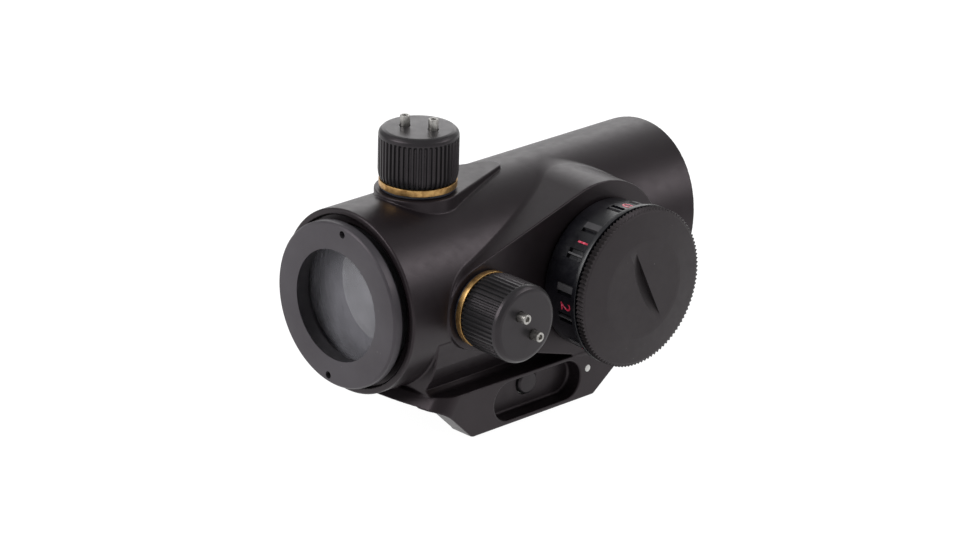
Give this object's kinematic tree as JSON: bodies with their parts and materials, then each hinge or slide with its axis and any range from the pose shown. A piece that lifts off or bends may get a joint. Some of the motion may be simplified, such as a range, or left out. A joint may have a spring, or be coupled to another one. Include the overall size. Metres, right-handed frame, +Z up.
{
  "type": "red dot finder",
  "caption": "Closed tube red dot finder with capped elevation and windage turrets, a numbered rotary brightness dial under a coin-slotted battery cap, and a rail clamp foot.",
  "frame": {"origin": "on the rail seat, the flat ceiling of the rail channel, centred across the channel and under the middle of the tube", "axes": "+Y along the optical axis towards the target, +Z up through the elevation turret, +X towards the windage turret and the dial"},
  "size_m": [0.0476, 0.0677, 0.0499],
  "materials": {
    "black_anodised_housing": "satin black anodised",
    "black_satin_metal": "semi-gloss black anodised",
    "black_dial_plastic": "satin moulded, red numerals",
    "brass": "turned, slightly tarnished",
    "bright_steel": "machined",
    "dark_rubber": "smooth",
    "clear_glass": "polished",
    "coated_glass": "polished, thin reflective coating",
    "board_green": "solder mask",
    "led_red": "clear red",
    "white_enamel": "paint-filled dot"
  },
  "bodies": {
    "housing": {"main_housing": "black_anodised_housing", "index_dot": "white_enamel", "rear_retaining_ring": "black_anodised_housing", "rear_window": "clear_glass", "rear_window_seal": "dark_rubber", "front_window_seal": "dark_rubber", "front_window": "clear_glass", "front_retaining_ring": "black_anodised_housing", "gimbal_pin_top": "bright_steel", "gimbal_pin_bottom": "bright_steel", "elevation_base_seal": "dark_rubber", "elevation_turret_base": "brass", "windage_base_seal": "dark_rubber", "windage_turret_base": "brass", "battery_holder": "black_dial_plastic", "holder_screw_1": "bright_steel", "holder_screw_2": "bright_steel", "circuit_board": "board_green", "battery_contact": "bright_steel", "battery_cell": "bright_steel", "detent_ball": "bright_steel", "detent_spring": "bright_steel"},
    "gimbal": {"gimbal_ring": "brass", "gimbal_pin_left": "bright_steel", "gimbal_pin_right": "bright_steel"},
    "optical_unit": {"inner_tube": "black_satin_metal", "reflector_lens": "coated_glass", "lens_retainer": "black_satin_metal", "emitter_holder": "black_dial_plastic", "led_emitter": "led_red", "return_spring": "bright_steel"},
    "elevation_adjuster": {"elevation_screw": "bright_steel"},
    "elevation_push_rod": {"elevation_pusher": "bright_steel"},
    "elevation_cap_ring": {"elevation_cap_seal": "dark_rubber"},
    "elevation_cover": {"elevation_cap": "black_satin_metal", "elevation_cap_pin_1": "bright_steel", "elevation_cap_pin_2": "bright_steel"},
    "windage_adjuster": {"windage_screw": "bright_steel"},
    "windage_push_rod": {"windage_pusher": "bright_steel"},
    "windage_cap_ring": {"windage_cap_seal": "dark_rubber"},
    "windage_cover": {"windage_cap": "black_satin_metal", "windage_cap_pin_1": "bright_steel", "windage_cap_pin_2": "bright_steel"},
    "dial": {"brightness_dial": "black_dial_plastic"},
    "battery_cap_ring": {"battery_cap_seal": "dark_rubber"},
    "battery_cover": {"battery_cap": "black_anodised_housing", "cap_contact_spring": "bright_steel"},
    "jaw": {"clamp_jaw": "black_anodised_housing", "clamp_washer": "bright_steel"},
    "bolt": {"clamp_bolt": "black_satin_metal"}
  },
  "joints": [
    {"name": "elevation_screw_turn", "type": "hinge", "parent": "housing", "child": "elevation_adjuster", "pos_m": [0, -0.0163, 0.0158], "axis": [0, 0, 1], "range_deg": [-360, 360]},
    {"name": "elevation_pusher_slide", "type": "slide", "parent": "housing", "child": "elevation_push_rod", "axis": [0, 0, 1], "range_m": [-0.0005, 0.0005]},
    {"name": "windage_screw_turn", "type": "hinge", "parent": "housing", "child": "windage_adjuster", "pos_m": [0, -0.0163, 0.0158], "axis": [1, 0, 0], "range_deg": [-360, 360]},
    {"name": "windage_pusher_slide", "type": "slide", "parent": "housing", "child": "windage_push_rod", "axis": [1, 0, 0], "range_m": [-0.0005, 0.0005]},
    {"name": "gimbal_swing", "type": "hinge", "parent": "housing", "child": "gimbal", "pos_m": [0, 0.0165, 0.0158], "axis": [0, 0, 1], "range_deg": [-0.9, 0.9]},
    {"name": "optical_unit_tilt", "type": "hinge", "parent": "gimbal", "child": "optical_unit", "pos_m": [0, 0.0165, 0.0158], "axis": [1, 0, 0], "range_deg": [-0.9, 0.9]},
    {"name": "elevation_cap_lift", "type": "slide", "parent": "housing", "child": "elevation_cap_ring", "axis": [0, 0, 1], "range_m": [0, 0.003]},
    {"name": "elevation_cap_turn", "type": "hinge", "parent": "elevation_cap_ring", "child": "elevation_cover", "pos_m": [0, -0.0163, 0.0158], "axis": [0, 0, 1], "range_deg": [0, 1081]},
    {"name": "windage_cap_lift", "type": "slide", "parent": "housing", "child": "windage_cap_ring", "axis": [1, 0, 0], "range_m": [0, 0.003]},
    {"name": "windage_cap_turn", "type": "hinge", "parent": "windage_cap_ring", "child": "windage_cover", "pos_m": [0, -0.0163, 0.0158], "axis": [1, 0, 0], "range_deg": [0, 1081]},
    {"name": "dial_turn", "type": "hinge", "parent": "housing", "child": "dial", "pos_m": [0, 0.009, 0.01535], "axis": [1, 0, 0], "range_deg": [-122, 178]},
    {"name": "battery_cap_lift", "type": "slide", "parent": "dial", "child": "battery_cap_ring", "axis": [1, 0, 0], "range_m": [0, 0.00225]},
    {"name": "battery_cap_turn", "type": "hinge", "parent": "battery_cap_ring", "child": "battery_cover", "pos_m": [0, 0.009, 0.01535], "axis": [1, 0, 0], "range_deg": [0, 1081]},
    {"name": "jaw_slide", "type": "slide", "parent": "housing", "child": "jaw", "axis": [-1, 0, 0], "range_m": [0, 0.00175]},
    {"name": "clamp_bolt_turn", "type": "hinge", "parent": "jaw", "child": "bolt", "pos_m": [0, -0.0035, -0.0012], "axis": [-1, 0, 0], "range_deg": [0, 901]}
  ],
  "couplings": [
    {"joint": "elevation_pusher_slide", "follows": "elevation_screw_turn", "m_per_rad": 0.000079577},
    {"joint": "optical_unit_tilt", "follows": "elevation_screw_turn", "ratio": -0.0024261},
    {"joint": "windage_pusher_slide", "follows": "windage_screw_turn", "m_per_rad": 0.000079577},
    {"joint": "gimbal_swing", "follows": "windage_screw_turn", "ratio": 0.0024261},
    {"joint": "elevation_cap_turn", "follows": "elevation_cap_lift", "rad_per_m": 6283.2},
    {"joint": "windage_cap_turn", "follows": "windage_cap_lift", "rad_per_m": 6283.2},
    {"joint": "battery_cap_turn", "follows": "battery_cap_lift", "rad_per_m": 8377.6},
    {"joint": "clamp_bolt_turn", "follows": "jaw_slide", "rad_per_m": 8976}
  ]
}
